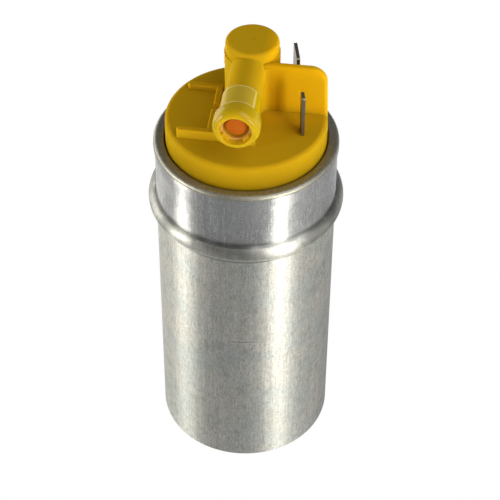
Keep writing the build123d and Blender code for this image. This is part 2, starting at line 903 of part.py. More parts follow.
pieces = {
    "housing_can": housing_can(),
    "outlet_cap": outlet_cap(),
    "cap_seal": cap_seal(),
    "terminal_front": terminal(
        front_blade_width, front_shank_width, front_blade_place, front_choke_place
    ),
    "terminal_back": terminal(back_blade_width, back_shank_width, back_blade_place, back_choke_place),
    "choke_core_front": choke_core(front_choke_place),
    "choke_core_back": choke_core(back_choke_place),
    "choke_coil_front": choke_coil(front_choke_place),
    "choke_coil_back": choke_coil(back_choke_place),
    "brush_holder": brush_holder(),
    "brush_right": brush(1),
    "brush_left": brush(-1),
    "brush_spring_right": brush_spring(1),
    "brush_spring_left": brush_spring(-1),
    "brush_lead_right": brush_lead(1, front_choke_place),
    "brush_lead_left": brush_lead(-1, back_choke_place),
    "upper_bearing": upper_bearing(),
    "shaft": shaft(),
    "thrust_washer": thrust_washer(),
    "commutator_hub": commutator_hub(),
    "commutator_segments": commutator_segments(),
    "armature_core": armature_core(),
    "armature_winding": armature_winding(),
    "magnet_right": magnet(0),
    "magnet_left": magnet(180),
    "magnet_clip_front": magnet_clip(270),
    "magnet_clip_back": magnet_clip(90),
    "flux_ring": flux_ring(),
    "pump_casing": pump_casing(),
    "lower_bearing": lower_bearing(),
    "impeller": impeller(),
    "inlet_cover": inlet_cover(),
    "thrust_button": thrust_button(),
    "relief_seat": relief_seat(),
    "relief_ball": relief_ball(),
    "relief_spring": relief_spring(),
    "check_poppet": check_poppet(),
    "check_spring": check_spring(),
    "valve_guide": valve_guide(),
    "retaining_washer": retaining_washer(),
}

os.makedirs("parts", exist_ok=True)
for name, piece in pieces.items():
    export_step(piece, f"parts/{name}.step")
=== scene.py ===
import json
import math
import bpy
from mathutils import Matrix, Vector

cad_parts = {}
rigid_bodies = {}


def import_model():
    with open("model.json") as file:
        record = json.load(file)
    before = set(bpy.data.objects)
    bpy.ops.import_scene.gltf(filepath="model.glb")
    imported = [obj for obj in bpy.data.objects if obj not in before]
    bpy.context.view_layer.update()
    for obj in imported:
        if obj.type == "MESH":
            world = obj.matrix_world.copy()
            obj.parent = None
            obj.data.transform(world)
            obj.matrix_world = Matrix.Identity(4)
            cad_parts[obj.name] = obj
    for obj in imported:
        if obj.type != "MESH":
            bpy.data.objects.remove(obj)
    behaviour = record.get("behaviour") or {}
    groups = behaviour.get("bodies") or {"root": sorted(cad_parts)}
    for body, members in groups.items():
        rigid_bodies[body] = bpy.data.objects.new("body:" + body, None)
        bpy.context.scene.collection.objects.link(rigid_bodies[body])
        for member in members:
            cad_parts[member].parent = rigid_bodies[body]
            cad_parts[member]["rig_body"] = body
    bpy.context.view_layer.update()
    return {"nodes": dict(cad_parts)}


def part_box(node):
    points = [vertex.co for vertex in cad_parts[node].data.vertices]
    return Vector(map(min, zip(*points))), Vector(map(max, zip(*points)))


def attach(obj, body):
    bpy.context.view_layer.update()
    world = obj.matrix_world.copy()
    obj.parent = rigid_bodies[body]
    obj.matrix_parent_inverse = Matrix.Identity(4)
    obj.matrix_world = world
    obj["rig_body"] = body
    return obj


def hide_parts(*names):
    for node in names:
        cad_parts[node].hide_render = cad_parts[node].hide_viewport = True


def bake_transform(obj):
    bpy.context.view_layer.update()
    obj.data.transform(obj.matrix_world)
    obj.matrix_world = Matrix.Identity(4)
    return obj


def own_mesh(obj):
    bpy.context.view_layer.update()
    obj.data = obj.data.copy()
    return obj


bl_info = {
    "name": "In-tank Fuel Pump",
    "version": (1, 0, 0),
    "blender": (4, 5, 0),
    "location": "View3D > Sidebar > Fuel Pump",
    "description": "Crimped can, moulded cap, blades, motor and pump of an in-tank fuel pump",
    "category": "Add Mesh",
}

import bmesh
import bpy
from mathutils import Matrix, Vector

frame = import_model()
cad_nodes = frame["nodes"]
can_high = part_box("housing_can")[1]
cap_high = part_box("outlet_cap")[1]

MM = 0.001
# Points of a CAD mesh closer than this are one
MERGE = 0.001 * MM
# Facets round a spring's or a choke's wire
WIRE_STEPS = 12


def length(label, text, value, low=0.0):
    """A size or place that the user can change, in metres."""
    return bpy.props.FloatProperty(
        name=label, description=text, default=value, min=low, unit="LENGTH"
    )


def amount(label, text, value, high=1.0):
    """A plain number that the user can change."""
    return bpy.props.FloatProperty(name=label, description=text, default=value, min=0, max=high)


def whole(label, text, value, high):
    """A number of steps that the user can change."""
    return bpy.props.IntProperty(name=label, description=text, default=value, min=12, max=high)


def angle(label, text, degrees):
    """An angle that the user can change, given in degrees."""
    return bpy.props.FloatProperty(
        name=label, description=text, default=math.radians(degrees), subtype="ANGLE"
    )


def spot(label, text, value):
    """A place in the scene that the user can change, in metres."""
    return bpy.props.FloatVectorProperty(
        name=label, description=text, default=value, size=3, unit="LENGTH"
    )


def colour(label, text, value):
    """A colour that the user can change."""
    return bpy.props.FloatVectorProperty(
        name=label, description=text, default=value, size=3, min=0, max=1, subtype="COLOR"
    )


class CanSettings(bpy.types.PropertyGroup):
    """Sizes and finish of the drawn can."""

    radius: length("Radius", "Outside radius of the plain can", 21.5 * MM)
    wall: length("Wall", "Thickness of the can's wall", 1.2 * MM)
    height: length("Height", "Height of the crimped rim above the base", can_high.z)
    bead_level: length("Bead level", "Height of the rolled bead's middle", 73.9 * MM)
    bead_half: length("Bead half height", "Half of the rolled bead's height", 2.3 * MM)
    bead_root: length("Bead root", "Fillet above the bead", 0.35 * MM)
    corner: length("Corner", "Radius of the rounded corners", 1.0 * MM)
    swell: length("Swell", "How far the rim is spread by the crimping", 0.3 * MM)
    lip_inner: length("Lip", "Inside radius of the crimped lip", 19.2 * MM)
    lip_depth: length("Lip depth", "How far down the rim the crimping tool dulled it", 1.1 * MM)
    foot_inner: length("Foot", "Inside radius of the folded base", 18.3 * MM)
    steps: whole("Steps", "Facets round the can", 288, 720)
    crease: angle("Crease", "Angle above which the can's edges are drawn sharp", 50)
    body_colour: colour("Body colour", "Colour of the drawn body", (0.98, 0.97, 0.895))
    band_colour: colour("Band colour", "Colour of the band above the bead", (0.95, 0.96, 0.96))
    stain: colour("Stain", "Colour of the body's faint cool patches", (0.66, 0.77, 0.78))
    streak: colour("Streak", "Colour of the band's dark rolling streaks", (0.62, 0.65, 0.69))
    # Painted shade on the bead's upper half, in the corner above it and in the crease under it.
    shade_tint: colour("Soil", "Colour of the grime round the bead", (0.33, 0.33, 0.31))
    # Painted highlight line along the bead's lower edge.
    bead_highlight: colour("Burnish", "Colour of the line burnished under the bead", (1.0, 1.0, 0.97))
    lip_colour: colour("Lip colour", "Colour of the crimped lip", (0.38, 0.37, 0.31))
    lip_rough: amount("Lip roughness", "Roughness of the crimped lip", 0.48)
    body_rough: amount("Body roughness", "Roughness of the drawn body", 0.45)
    band_rough: amount("Band roughness", "Roughness of the rolled band", 0.36)
    scratch_level: length("Scratch level", "Height of the fine scratch on the front", 43.45 * MM)
    scratch_half: length("Scratch half width", "Half of the scratch's width", 0.14 * MM)
    scratch_start: length("Scratch start", "Left end of the scratch", -1.0 * MM, -20 * MM)
    scratch_end: length("Scratch end", "Right end of the scratch", 6.6 * MM)
    body_grain: amount("Body grain", "How far highlights are drawn out along the body", 0.81)
    band_grain: amount("Band grain", "How far highlights are drawn out along the band", 0.95)


class CapSettings(bpy.types.PropertyGroup):
    """Finish of the moulded outlet cap and its seal."""

    amber: colour("Amber", "Colour of the moulding", (0.50, 0.306, 0.008))
    amber_clear: colour("Clear amber", "Colour of the clearer nozzle", (0.40, 0.28, 0.001))
    amber_deep: colour("Deep amber", "Colour of the moulding's thicker flow", (0.44, 0.260, 0.005))
    # The next colour and the two places after it set a painted glow of light passing through the
    # thin divider.
    painted_glow: colour("Thin amber", "Colour where light passes through", (0.80, 0.41, 0.001))
    thin_start: length("Thin start", "How far to the right light starts to pass", 3.0 * MM)
    thin_level: length("Thin level", "Height above which light starts to pass", 97.0 * MM)
    shade_height: length("Shade height", "How far up the wall the can's shade reaches", 7.8 * MM)
    glow: amount("Glow", "How much light passes into the plastic", 0.55)
    glow_depth: length("Glow depth", "How far light passes into the plastic", 2.0 * MM)
    rough: amount("Roughness", "Roughness of the moulding", 0.43)
    nozzle_rough: amount("Nozzle roughness", "Roughness of the glossy skin on the nozzle", 0.06)
    shine: amount("Shine", "Strength of the moulding's reflections", 0.004)
    coat: amount("Coat", "Strength of the glossy skin on the nozzle", 0.6)
    edge: length("Edge", "Width of the moulding's rounded edges", 0.15 * MM)
    blade_edge: length("Blade edge", "Width of the blades' rounded edges", 0.08 * MM)
    nozzle_level: length("Nozzle level", "Height of the nozzle's axis above the base", 108.5 * MM)
    nozzle_start: length("Nozzle start", "How far to the front the clear skin starts", 7.2 * MM)
    nozzle_drop: length("Nozzle drop", "How far below the cap's top it ends", 13.0 * MM)
    bore_radius: length("Bore radius", "Radius of the lit bore in the nozzle", 3.6 * MM)
    bore_light: amount("Bore light", "Light that the nozzle's thin wall lets into its bore", 0.15)
    bore_colour: colour("Bore colour", "Colour of the light in the bore", (1.0, 0.42, 0.02))
    # The next five settings place and colour a painted reflection of a softbox on the nozzle's
    # band.
    line_back: length("Line back", "Where the insert line starts on the nozzle's band", 8.15 * MM)
    line_front: length("Line front", "Where the insert line ends on the nozzle's band", 14.0 * MM)
    line_side: length("Line side", "How far the insert line lies to the right", 3.45 * MM)
    line_width: length("Line width", "Width of the insert line", 0.30 * MM)
    highlight_colour: colour("Line colour", "Colour of the insert line", (0.85, 0.72, 0.32))
    crease: angle("Crease", "Angle above which a CAD mesh's edges are drawn sharp", 38)


class InsideSettings(bpy.types.PropertyGroup):
    """Sizes of the wound and stacked pieces inside the pump."""

    sheet: length("Sheet", "Thickness of one lamination", 0.5 * MM)
    sheet_gap: length("Sheet gap", "Varnish line between two laminations", 0.04 * MM)
    brush_wire: length("Brush spring wire", "Wire of the brush springs", 0.5 * MM)
    brush_turns: amount("Brush spring turns", "Turns of the brush springs", 5.5, 20)
    valve_wire: length("Valve spring wire", "Wire of the check valve's spring", 0.45 * MM)
    valve_turns: amount("Valve spring turns", "Turns of the check valve's spring", 5.0, 20)
    relief_wire: length("Relief spring wire", "Wire of the relief valve's spring", 0.35 * MM)
    relief_turns: amount("Relief spring turns", "Turns of the relief valve's spring", 9.0, 30)
    choke_wire: length("Choke wire", "Wire of the two chokes", 1.08 * MM)
    choke_turns: amount("Choke turns", "Turns of each choke", 7.0, 20)
    ring_steps: whole("Ring steps", "Steps in one turn of a coil", 48, 128)


class StageSettings(bpy.types.PropertyGroup):
    """Camera, lamps and floor."""

    eye: spot("Camera place", "Where the camera stands", (0.04021, -0.30994, 0.36008))
    tilt: angle("Tilt", "Camera's angle above the horizon", 44.4072)
    turn: angle("Turn", "Camera's angle round the pump", 7.2)
    roll: angle("Roll", "Camera's own roll", 0.36661)
    lens: bpy.props.FloatProperty(
        name="Lens", description="Focal length in millimetres for a 36 mm frame",
        default=126.713, min=10, max=300
    )
    white: amount("Background", "Brightness of floor and sky to the camera", 1.0, 4)
    mirror_white: amount("Mirrored background", "Brightness of the floor in a mirror", 0.37, 4)
    mirror_sky: amount("Mirrored sky", "Brightness of the sky in a mirror", 0.16, 4)
    mirror_back: amount("Mirrored back", "Brightness of the floor's back in a mirror", 1.0, 4)
    back_start: length("Back start", "How far behind the pump the floor's back starts", 0.09)
    back_soft: length("Back soft", "Width of the back's soft edge", 0.03)
    floor_reach: length("Floor reach", "How far the floor reaches to each side", 2.0)
    floor_gap: length("Floor gap", "How far the floor lies under the pump", 0.05 * MM)
    sky: amount("Sky light", "Strength of the light from the sky", 0.22, 4)
    right: amount("Right softbox", "Power of the softbox on the right in watts", 2.17, 1000)
    left: amount("Left softbox", "Power of the softbox on the left in watts", 1.77, 1000)
    right_scrim: amount("Right scrim", "Power of the broad scrim on the right in watts", 0.45, 1000)
    left_scrim: amount("Left scrim", "Power of the broad scrim on the left in watts", 1.0, 1000)
    top: amount("Top softbox", "Power of the softbox above in watts", 1.68, 1000)
    warm: colour("Warmth", "Colour of the lamps beside the pump", (1.0, 0.965, 0.885))
    right_turn: angle("Right place", "The right softbox, turned from the front", 45.3)
    left_turn: angle("Left place", "The left softbox, turned from the front", -66)
    right_scrim_turn: angle("Right scrim place", "The right scrim, turned from the front", 79)
    left_scrim_turn: angle("Left scrim place", "The left scrim, turned from the front", -112)
    right_width: length("Right width", "Width of the right softbox", 0.108)
    left_width: length("Left width", "Width of the left softbox", 0.136)
    scrim_width: length("Scrim width", "Width of the two scrims", 0.50)
    box_height: length("Box height", "Height of the lamps beside the pump", 0.30)
    box_level: length("Box level", "Height of their middle above the floor", 0.155)
    away: length("Away", "How far they stand from the pump", 0.50)
    top_place: spot("Top place", "Where the softbox above hangs", (0.33, -0.18, 0.60))
    top_width: length("Top width", "Width of the softbox above", 0.50)


# Meshes


def linked(name, data):
    """Makes an object of a mesh, a lamp or a camera and puts it in the scene."""
    made = bpy.data.objects.new(name, data)
    bpy.context.scene.collection.objects.link(made)
    return made


def keep(mesh, name, node):
    """Links a finished mesh as a piece that stands for a CAD node and rides on its body."""
    piece = linked(name, mesh)
    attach(piece, cad_nodes[node]["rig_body"])
    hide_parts(node)
    return piece


def soften(mesh, crease):
    """Smooth faces, with edges sharper than the crease angle kept sharp."""
    mesh.shade_smooth()
    mesh.set_sharp_from_angle(angle=crease)


def arc(centre_x, centre_y, radius, start, end, steps):
    """Points of an arc between two angles in degrees."""
    points = []
    for index in range(steps + 1):
        turn = math.radians(start + (end - start) * index / steps)
        points.append((centre_x + radius * math.cos(turn), centre_y + radius * math.sin(turn)))
    return points


def outline_mesh(name, points):
    """Closed outline drawn as edges, X across and Y up."""
    mesh = bpy.data.meshes.new(name)
    edges = [(index, (index + 1) % len(points)) for index in range(len(points))]
    mesh.from_pydata([(x, y, 0) for x, y in points], edges, [])
    return mesh


def baked(holder, name):
    """Turns an object with modifiers into a plain mesh and drops the object."""
    bpy.context.view_layer.update()
    graph = bpy.context.evaluated_depsgraph_get()
    mesh = bpy.data.meshes.new_from_object(holder.evaluated_get(graph), depsgraph=graph)
    mesh.name = name
    old = holder.data
    bpy.data.objects.remove(holder)
    if isinstance(old, bpy.types.Mesh) and old.users == 0:
        bpy.data.meshes.remove(old)
    return mesh


# Node trees


def feed(tree, node, values):
    """Fills a node's inputs with other nodes' outputs or with plain values."""
    for label, value in values.items():
        if isinstance(value, bpy.types.NodeSocket):
            tree.links.new(value, node.inputs[label])
        else:
            node.inputs[label].default_value = value


def added(tree, kind, values=None, **settings):
    """Adds a node with its own settings and with its inputs filled."""
    node = tree.nodes.new(kind)
    for name, value in settings.items():
        setattr(node, name, value)
    feed(tree, node, values or {})
    return node


def named_inputs(tree, **inputs):
    """Gives a tree its named inputs."""
    for label, value in inputs.items():
        kind = "NodeSocketInt" if isinstance(value, int) else "NodeSocketFloat"
        label = label.replace("_", " ")
        socket = tree.interface.new_socket(name=label, in_out="INPUT", socket_type=kind)
        socket.default_value = value
    return tree.nodes.new("NodeGroupInput").outputs


def reckoned(tree, operation, *values):
    """Joins values or plain numbers, in order, by one kind of arithmetic."""
    result = values[0]
    for value in values[1:]:
        node = added(tree, "ShaderNodeMath", {0: result, 1: value}, operation=operation)
        result = node.outputs[0]
    return result


def product(tree, *values):
    """Multiplies values, such as masks and shares of them."""
    return reckoned(tree, "MULTIPLY", *values)


# Geometry node trees


def close_tree(tree, entry, geometry):
    """Ends a tree in Realize Instances and Set Material."""
    real = added(tree, "GeometryNodeRealizeInstances", {"Geometry": geometry})
    dressed = added(tree, "GeometryNodeSetMaterial", {
        "Geometry": real.outputs["Geometry"], "Material": entry["Material"],
    })
    tree.interface.new_socket(name="Geometry", in_out="OUTPUT", socket_type="NodeSocketGeometry")
    added(tree, "NodeGroupOutput", {"Geometry": dressed.outputs["Geometry"]})


def turned_tree(tree):
    """Sweeps a closed outline once round the Z axis: the can's rolled wall."""
    entry = named_inputs(tree, Radius=0.02, Steps=64)
    outline = added(tree, "GeometryNodeMeshToCurve", {"Mesh": entry["Geometry"]})
    ring = added(tree, "GeometryNodeCurvePrimitiveCircle", {
        "Radius": entry["Radius"], "Resolution": entry["Steps"],
    })
    ring = ring.outputs["Curve"]
    upright = added(tree, "GeometryNodeSetCurveNormal", {"Curve": ring}, mode="Z_UP")
    sweep = added(tree, "GeometryNodeCurveToMesh", {
        "Curve": upright.outputs["Curve"], "Profile Curve": outline.outputs["Curve"],
    })
    close_tree(tree, entry, sweep.outputs["Mesh"])


def wound_tree(tree):
    """Round wire wound in a coil along Z: springs and choke windings."""
    entry = named_inputs(tree, Turns=5.0, Radius=0.002, Height=0.006, Wire=0.0005, Steps=32)
    coil = added(tree, "GeometryNodeCurveSpiral", {
        "Resolution": entry["Steps"], "Rotations": entry["Turns"], "Height": entry["Height"],
        "Start Radius": entry["Radius"], "End Radius": entry["Radius"],
    })
    wire = added(tree, "GeometryNodeCurvePrimitiveCircle", {
        "Resolution": WIRE_STEPS, "Radius": product(tree, entry["Wire"], 0.5),
    })
    sweep = added(tree, "GeometryNodeCurveToMesh", {
        "Curve": coil.outputs["Curve"], "Profile Curve": wire.outputs["Curve"],
        "Fill Caps": True,
    })
    close_tree(tree, entry, sweep.outputs["Mesh"])


def stack_tree(tree):
    """Repeats the given sheet along Z: the armature's laminations."""
    entry = named_inputs(tree, Count=10, Pitch=0.0005)
    step = added(tree, "ShaderNodeCombineXYZ", {"Z": entry["Pitch"]})
    line = added(tree, "GeometryNodeMeshLine", {
        "Count": entry["Count"], "Offset": step.outputs["Vector"],
    })
    place = added(tree, "GeometryNodeInstanceOnPoints", {
        "Points": line.outputs["Mesh"], "Instance": entry["Geometry"],
    })
    close_tree(tree, entry, place.outputs["Instances"])


def grown(maker, mesh, material, **values):
    """Plain mesh that a geometry node tree makes from a mesh."""
    name = maker.__name__
    tree = bpy.data.node_groups.get(name)
    if tree is None:
        tree = bpy.data.node_groups.new(name, "GeometryNodeTree")
        new_socket = tree.interface.new_socket
        for label in ("Geometry", "Material"):
            new_socket(name=label, in_out="INPUT", socket_type="NodeSocket" + label)
        maker(tree)
    holder = linked(name, mesh)
    modifier = holder.modifiers.new(name, "NODES")
    modifier.node_group = tree
    values["Material"] = material
    for item in tree.interface.items_tree:
        if item.in_out == "INPUT" and item.name in values:
            modifier[item.identifier] = values[item.name]
    return baked(holder, name)


# Shared effects


def placed(tree, maker, **values):
    """Puts a shader node group into a material with its own values."""
    group = bpy.data.node_groups.get(maker.__name__)
    if group is None:
        group = bpy.data.node_groups.new(maker.__name__, "ShaderNodeTree")
        maker(group)
    named = {label.replace("_", " "): value for label, value in values.items()}
    return added(tree, "ShaderNodeGroup", named, node_tree=group).outputs


def close_group(group, **outputs):
    """Gives a shader node group its named outputs."""
    for label in outputs:
        group.interface.new_socket(name=label, in_out="OUTPUT", socket_type="NodeSocketFloat")
    added(group, "NodeGroupOutput", outputs)


def vector_step(tree, operation, values):
    """Outputs of one step of vector arithmetic."""
    return added(tree, "ShaderNodeVectorMath", values, operation=operation).outputs


def worked_metal(group):
    """Streaks left by drawing, rolling or grinding round Z, and the broader patches among them."""
    entry = named_inputs(group, Round=60.0, Along=200.0, Patch=60.0)
    place = added(group, "ShaderNodeTexCoord").outputs["Object"]
    parts = added(group, "ShaderNodeSeparateXYZ", {0: place}).outputs
    flat = added(group, "ShaderNodeCombineXYZ", {"X": parts["X"], "Y": parts["Y"]})
    unit = vector_step(group, "NORMALIZE", {0: flat.outputs[0]})
    around = vector_step(group, "SCALE", {0: unit[0], "Scale": entry["Round"]})
    up = product(group, parts["Z"], entry["Along"])
    rise = added(group, "ShaderNodeCombineXYZ", {"Z": up})
    drawn = vector_step(group, "ADD", {0: around[0], 1: rise.outputs[0]})
    streak = added(group, "ShaderNodeTexNoise", {
        "Vector": drawn[0], "Scale": 1.0, "Detail": 4.0, "Roughness": 0.6,
    })
    blotch = added(group, "ShaderNodeTexNoise", {
        "Vector": place, "Scale": entry["Patch"], "Detail": 3.0,
    })
    close_group(group, Streak=streak.outputs["Fac"], Blotch=blotch.outputs["Fac"])


def moulded_skin(group):
    """Fine grain and slow flow marks of a moulded or cast surface."""
    entry = named_inputs(group, Grain_size=1600.0, Flow_size=90.0)
    place = added(group, "ShaderNodeTexCoord").outputs["Object"]
    grain = added(group, "ShaderNodeTexNoise", {
        "Vector": place, "Scale": entry["Grain size"], "Detail": 2.0,
    })
    flow = added(group, "ShaderNodeTexNoise", {
        "Vector": place, "Scale": entry["Flow size"], "Detail": 2.0, "Distortion": 0.6,
    })
    close_group(group, Grain=grain.outputs["Fac"], Flow=flow.outputs["Fac"])


def past_line(group):
    """1 on the far side of a line along an axis and 0 before it, with a soft edge."""
    entry = named_inputs(group, X=0.0, Y=0.0, Z=0.0, Start=0.0, Soft=0.001)
    place = added(group, "ShaderNodeTexCoord").outputs["Object"]
    way = added(group, "ShaderNodeCombineXYZ", {axis: entry[axis] for axis in "XYZ"})
    along = vector_step(group, "DOT_PRODUCT", {0: place, 1: way.outputs[0]})
    cut = added(group, "ShaderNodeMapRange", {
        "Value": along["Value"], "From Min": entry["Start"],
        "From Max": reckoned(group, "ADD", entry["Start"], entry["Soft"]),
    })
    close_group(group, Mask=cut.outputs["Result"])


def near_axis(group):
    """1 close to a line that runs along Y at a level and 0 beyond a radius."""
    entry = named_inputs(group, Level=0.0, Radius=0.003, Soft=0.001)
    place = added(group, "ShaderNodeTexCoord").outputs["Object"]
    parts = added(group, "ShaderNodeSeparateXYZ", {0: place}).outputs
    rise = reckoned(group, "SUBTRACT", parts["Z"], entry["Level"])
    flat = added(group, "ShaderNodeCombineXYZ", {"X": parts["X"], "Z": rise})
    far = vector_step(group, "LENGTH", {0: flat.outputs[0]})
    cut = added(group, "ShaderNodeMapRange", {
        "Value": far["Value"], "From Min": entry["Radius"],
        "From Max": reckoned(group, "ADD", entry["Radius"], entry["Soft"]),
        "To Min": 1.0, "To Max": 0.0,
    })
    close_group(group, Mask=cut.outputs["Result"])


# Masks and tones


def past(tree, way, start, soft):
    """1 past a place on the way X, Y or Z, or against it with a minus, and 0 before it."""
    step = {way[-1]: -1.0 if way[0] == "-" else 1.0}
    return placed(tree, past_line, **step, Start=start, Soft=soft)["Mask"]


def between(tree, axis, start, end, soft):
    """1 between two places along an axis, with soft edges."""
    first = past(tree, axis, start, soft)
    return product(tree, first, past(tree, "-" + axis, -end, soft))


def spread(tree, value, low, high, start=0.0, end=1.0):
    """Maps a value from start..end to low..high."""
    return added(tree, "ShaderNodeMapRange", {
        "Value": value, "From Min": start, "From Max": end, "To Min": low, "To Max": high,
    }).outputs["Result"]


def share(tree, texture, start, end, most=1.0):
    """0 where a texture is below the start, rising to the most at the end."""
    return spread(tree, texture, 0, most, start, end)


def tinted(tree, factor, first, second):
    """Mixes two colours by a value. The first may be a socket."""
    if not isinstance(first, bpy.types.NodeSocket):
        first = (*first, 1.0)
    values = {0: factor, 6: first, 7: (*second, 1.0)}
    return added(tree, "ShaderNodeMix", values, data_type="RGBA").outputs[2]


def layered(tree, tone, *layers):
    """Lays further colours over a tone, each by its own mask."""
    for mask, over in layers:
        tone = tinted(tree, mask, tone, over)
    return tone


def darker(value, share):
    """The same colour with a share of its light."""
    return tuple(channel * share for channel in value)


def raised(tree, shader, height, strength, depth):
    """Feeds a height into the shader's normal through a Bump node."""
    bump = added(tree, "ShaderNodeBump", {
        "Height": height, "Strength": strength, "Distance": depth,
    })
    feed(tree, shader, {"Normal": bump.outputs["Normal"]})


# Finishes


def finish(maker):
    """The material that a finish function makes, made only once."""
    made = bpy.data.materials.get(maker.__name__)
    if made is None:
        made = bpy.data.materials.new(maker.__name__)
        made.use_nodes = True
        maker(made.node_tree, made.node_tree.nodes["Principled BSDF"])
    return made


def metal(tree, shader, base, rough, around, along, worn):
    """Worked metal: streaks in colour and gloss, broader patches and a fine bump."""
    marks = placed(tree, worked_metal, Round=around, Along=along, Patch=150.0)
    feed(tree, shader, {
        "Base Color": tinted(tree, marks["Streak"], darker(base, worn), base),
        "Roughness": spread(tree, marks["Blotch"], rough * 0.8, rough * 1.25),
        "Metallic": 1.0,
    })
    raised(tree, shader, marks["Streak"], 0.12, 0.02 * MM)


def plastic(tree, shader, base, rough, flow=0.88, grain_depth=0.01 * MM):
    """Moulded plastic or pressed powder: slow flow marks and a fine grain."""
    skin = placed(tree, moulded_skin)
    feed(tree, shader, {
        "Base Color": tinted(tree, skin["Flow"], darker(base, flow), base),
        "Roughness": spread(tree, skin["Grain"], rough * 0.85, rough * 1.15),
    })
    raised(tree, shader, skin["Grain"], 0.3, grain_depth)


def turned_grain(tree, shader, strength):
    """Grooves round the can, which draw its highlights out into upright bands."""
    around = added(tree, "ShaderNodeTangent", direction_type="RADIAL", axis="Z")
    feed(tree, shader, {
        "Tangent": around.outputs["Tangent"],
        "Anisotropic": strength,
        "Anisotropic Rotation": 0.25,
    })


def drawn_aluminium(tree, shader):
    """Body of the can: satin, mottled and pitted, with painted shade at the bead, a painted
    highlight line and a painted shade line under it, and one fine scratch.
    """
    can = bpy.context.scene.pump_can
    base, rough = can.body_colour, can.body_rough
    marks = placed(tree, worked_metal, Round=26.0, Along=28.0, Patch=230.0)
    fine = placed(tree, worked_metal, Round=62.0, Along=520.0, Patch=230.0)
    skin = placed(tree, moulded_skin, Grain_size=2500.0, Flow_size=110.0)
    mottle = placed(tree, moulded_skin, Grain_size=700.0, Flow_size=260.0)
    wear = reckoned(
        tree, "ADD",
        share(tree, skin["Grain"], 0.38, 0.62, most=0.18),
        share(tree, fine["Streak"], 0.38, 0.62, most=0.21),
        share(tree, mottle["Grain"], 0.38, 0.64, most=0.10),
        share(tree, marks["Blotch"], 0.50, 0.68, most=0.11),
    )
    pits = share(tree, skin["Grain"], 0.67, 0.73, most=0.7)
    fold = can.bead_level - can.bead_half
    # Painted highlight line along the bead's lower edge and painted shade in the crease below it,
    # set low so that the bead reads taller.
    bead_highlight = between(tree, "Z", fold - 0.45 * MM, fold + 0.05 * MM, 0.1 * MM)
    crease = between(tree, "Z", fold - 1.1 * MM, fold - 0.5 * MM, 0.15 * MM)
    tone = layered(
        tree, darker(base, 0.84),
        (share(tree, marks["Streak"], 0.32, 0.66), base),
        (share(tree, skin["Flow"], 0.42, 0.64, most=0.4), can.stain),
        (wear, darker(base, 0.18)),
        (pits, darker(base, 0.25)),
        # Painted shade on the bead's upper half and in the corner above it.
        (bead_shade(tree, can, skin["Flow"]), can.shade_tint),
        (product(tree, bead_highlight, 0.8), can.bead_highlight),
        (product(tree, crease, 0.8), can.shade_tint),
        (fine_scratch(tree, can, skin["Grain"]), darker(base, 0.18)),
    )
    feed(tree, shader, {
        "Base Color": tone,
        "Roughness": spread(tree, marks["Blotch"], rough * 0.96, rough * 1.04, 0.3, 0.7),
        "Metallic": 1.0,
    })
    turned_grain(tree, shader, can.body_grain)
    ridges = reckoned(tree, "ADD", marks["Streak"], fine["Streak"], skin["Grain"])
    raised(tree, shader, ridges, 0.45, 0.04 * MM)


def bead_shade(tree, can, flow):
    """Painted shade on the upper half of the bead and in the corner above it, broken up by the flow
    noise.
    """
    low = can.bead_level - 1.0 * MM
    high = can.bead_level + can.bead_half + 1.2 * MM
    ring = between(tree, "Z", low, high, 0.9 * MM)
    return product(tree, ring, spread(tree, flow, 0.3, 0.9, 0.38, 0.6))


def fine_scratch(tree, can, grain):
    """1 in the short scratch on the can's front, broken up by the grain."""
    thin = can.scratch_half
    level = between(tree, "Z", can.scratch_level - thin, can.scratch_level + thin, 0.1 * MM)
    run = between(tree, "X", can.scratch_start, can.scratch_end, 1.2 * MM)
    front = past(tree, "-Y", can.radius / 2, 0.1 * MM)
    broken = spread(tree, grain, 0.5, 1, 0.35, 0.55)
    return product(tree, level, run, front, broken)


def rolled_aluminium(tree, shader):
    """Band above the bead: smoother, pressed flat by the crimping rollers, with bright streaks."""
    can = bpy.context.scene.pump_can
    base, rough = can.band_colour, can.band_rough
    marks = placed(tree, worked_metal, Round=52.0, Along=26.0, Patch=140.0)
    fine = placed(tree, worked_metal, Round=80.0, Along=500.0, Patch=140.0)
    skin = placed(tree, moulded_skin, Grain_size=2300.0, Flow_size=160.0)
    tone = layered(
        tree, can.streak,
        (share(tree, marks["Streak"], 0.36, 0.52), base),
        (share(tree, skin["Grain"], 0.38, 0.62), darker(base, 0.60)),
        (share(tree, fine["Streak"], 0.38, 0.62), darker(base, 0.54)),
        (share(tree, skin["Flow"], 0.5, 0.72, most=0.5), darker(base, 0.76)),
        # Painted shade on the bead's upper half and in the corner above it.
        (bead_shade(tree, can, skin["Flow"]), can.shade_tint),
    )
    feed(tree, shader, {
        "Base Color": tone,
        "Roughness": spread(tree, skin["Flow"], rough * 0.85, rough * 1.15, 0.3, 0.7),
        "Metallic": 1.0,
    })
    turned_grain(tree, shader, can.band_grain)
    ridges = reckoned(tree, "ADD", skin["Grain"], marks["Streak"])
    raised(tree, shader, ridges, 0.32, 0.03 * MM)


def crimped_aluminium(tree, shader):
    """Lip folded over the cap: dull and darker than the body."""
    can = bpy.context.scene.pump_can
    base, rough = can.lip_colour, can.lip_rough
    skin = placed(tree, moulded_skin, Grain_size=1300.0, Flow_size=120.0)
    worn = share(tree, skin["Grain"], 0.35, 0.65)
    feed(tree, shader, {
        "Base Color": tinted(tree, worn, darker(base, 0.80), base),
        "Roughness": spread(tree, skin["Flow"], rough * 0.9, rough * 1.1, 0.3, 0.7),
        "Metallic": 1.0,
    })
    raised(tree, shader, skin["Grain"], 0.30, 0.03 * MM)


